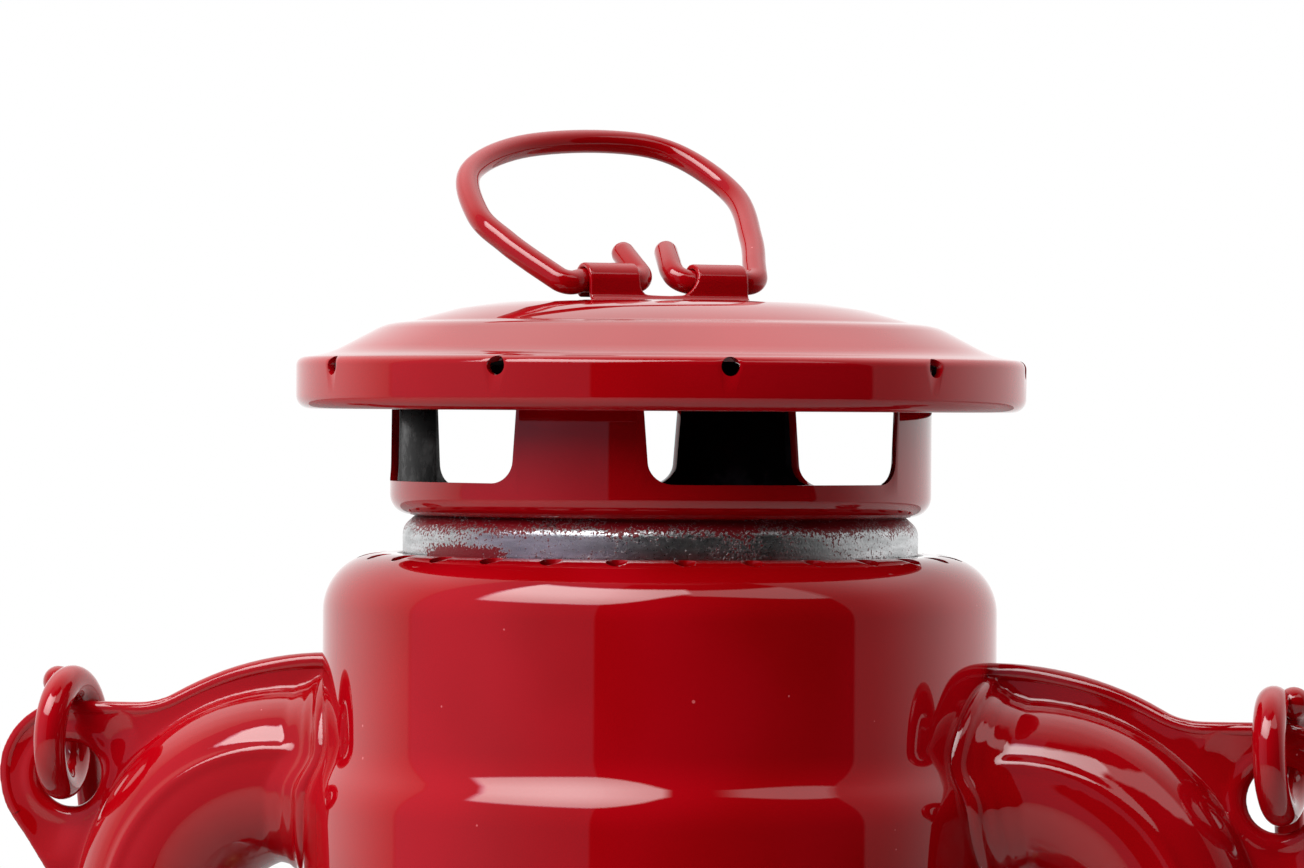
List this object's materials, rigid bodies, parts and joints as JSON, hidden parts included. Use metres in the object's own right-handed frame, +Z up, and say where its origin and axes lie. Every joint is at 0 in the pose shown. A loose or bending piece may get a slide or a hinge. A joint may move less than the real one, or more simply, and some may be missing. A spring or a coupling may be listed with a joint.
{
  "type": "hurricane lantern",
  "caption": "Tubular hurricane lantern: fuel tank, side air tubes, glass globe on a lever lift, sprung chimney with a vented hood and lifting ring, wick burner and wire bail.",
  "frame": {"origin": "on the lantern's axis, on the surface it stands on", "axes": "+Z up, +X towards the right-hand tube seen from the front, -Y towards the viewer"},
  "size_m": [0.1502, 0.1192, 0.2816],
  "materials": {
    "red_enamel": "glossy dipped red enamel",
    "tin_plate": "bright tinned sheet",
    "brass": "satin brass",
    "steel": "plain steel wire",
    "cotton": "woven cotton",
    "glass": "clear glass",
    "rubber": "black rubber"
  },
  "bodies": {
    "frame": {"tank_base": "red_enamel", "tank_shell": "red_enamel", "filler_neck": "red_enamel", "air_cup": "red_enamel", "shaft_bush": "brass", "burner_collar": "brass", "burner_base": "brass", "burner_shell": "brass", "burner_cone": "brass", "wick_tube": "brass", "left_tube_front": "red_enamel", "left_tube_rear": "red_enamel", "right_tube_front": "red_enamel", "right_tube_rear": "red_enamel", "drum": "red_enamel", "left_guide_clip": "red_enamel", "right_guide_clip": "red_enamel", "lever_pivot": "steel", "chimney_spring": "steel"},
    "globe_carriage": {"globe_plate": "tin_plate", "globe": "glass", "left_guide_wire": "tin_plate", "right_guide_wire": "tin_plate", "guard_hoop_inner": "tin_plate", "guard_hoop_outer": "tin_plate"},
    "chimney": {"chimney_tube": "tin_plate", "chimney_bell": "tin_plate", "hood_band": "red_enamel", "hood_cap": "red_enamel", "ring_bracket": "red_enamel"},
    "lifting_ring": {"lifting_ring": "red_enamel"},
    "lift_lever": {"lift_lever": "red_enamel"},
    "wick_winder": {"wick_shaft": "steel", "wick_sprockets": "steel", "wick_knob": "red_enamel"},
    "wick": {"wick": "cotton"},
    "filler_gasket": {"filler_gasket": "rubber"},
    "filler_cap": {"filler_cap": "red_enamel"},
    "bail": {"bail": "red_enamel"}
  },
  "joints": [
    {"name": "globe_lift", "type": "slide", "parent": "frame", "child": "globe_carriage", "axis": [0, 0, 1], "range_m": [0, 0.01], "deforming": ["chimney_spring"]},
    {"name": "lever_turn", "type": "hinge", "parent": "frame", "child": "lift_lever", "pos_m": [0.06, -0.015, 0.0915], "axis": [0, 1, 0], "range_deg": [0, 26.8]},
    {"name": "hood_lift", "type": "slide", "parent": "globe_carriage", "child": "chimney", "axis": [0, 0, 1], "range_m": [0, 0.012], "stiffness_N_per_m": 250, "springref_m": -0.012, "deforming": ["chimney_spring"]},
    {"name": "ring_swing", "type": "hinge", "parent": "chimney", "child": "lifting_ring", "pos_m": [0, 0, 0.26415], "axis": [0.7314, 0.682, 0], "range_deg": [0, 114]},
    {"name": "bail_swing", "type": "hinge", "parent": "frame", "child": "bail", "pos_m": [0, 0, 0.2146], "axis": [1, 0, 0], "range_deg": [0, 270]},
    {"name": "knob_turn", "type": "hinge", "parent": "frame", "child": "wick_winder", "pos_m": [0.00494, -0.0023, 0.075], "axis": [-0.4226, -0.9063, 0], "range_deg": [-90, 90]},
    {"name": "wick_feed", "type": "slide", "parent": "frame", "child": "wick", "axis": [0, 0, 1], "range_m": [-0.0063, 0.0063]},
    {"name": "cap_rise", "type": "slide", "parent": "frame", "child": "filler_gasket", "axis": [0, 0, 1], "range_m": [0, 0.006]},
    {"name": "cap_turn", "type": "hinge", "parent": "filler_gasket", "child": "filler_cap", "pos_m": [0.02877, -0.03195, 0.07], "axis": [0, 0, 1], "range_deg": [0, 720]}
  ],
  "couplings": [
    {"joint": "lever_turn", "follows": "globe_lift", "rad_per_m": 46.749},
    {"joint": "wick_feed", "follows": "knob_turn", "m_per_rad": -0.004},
    {"joint": "cap_rise", "follows": "cap_turn", "m_per_rad": 0.00047746}
  ]
}
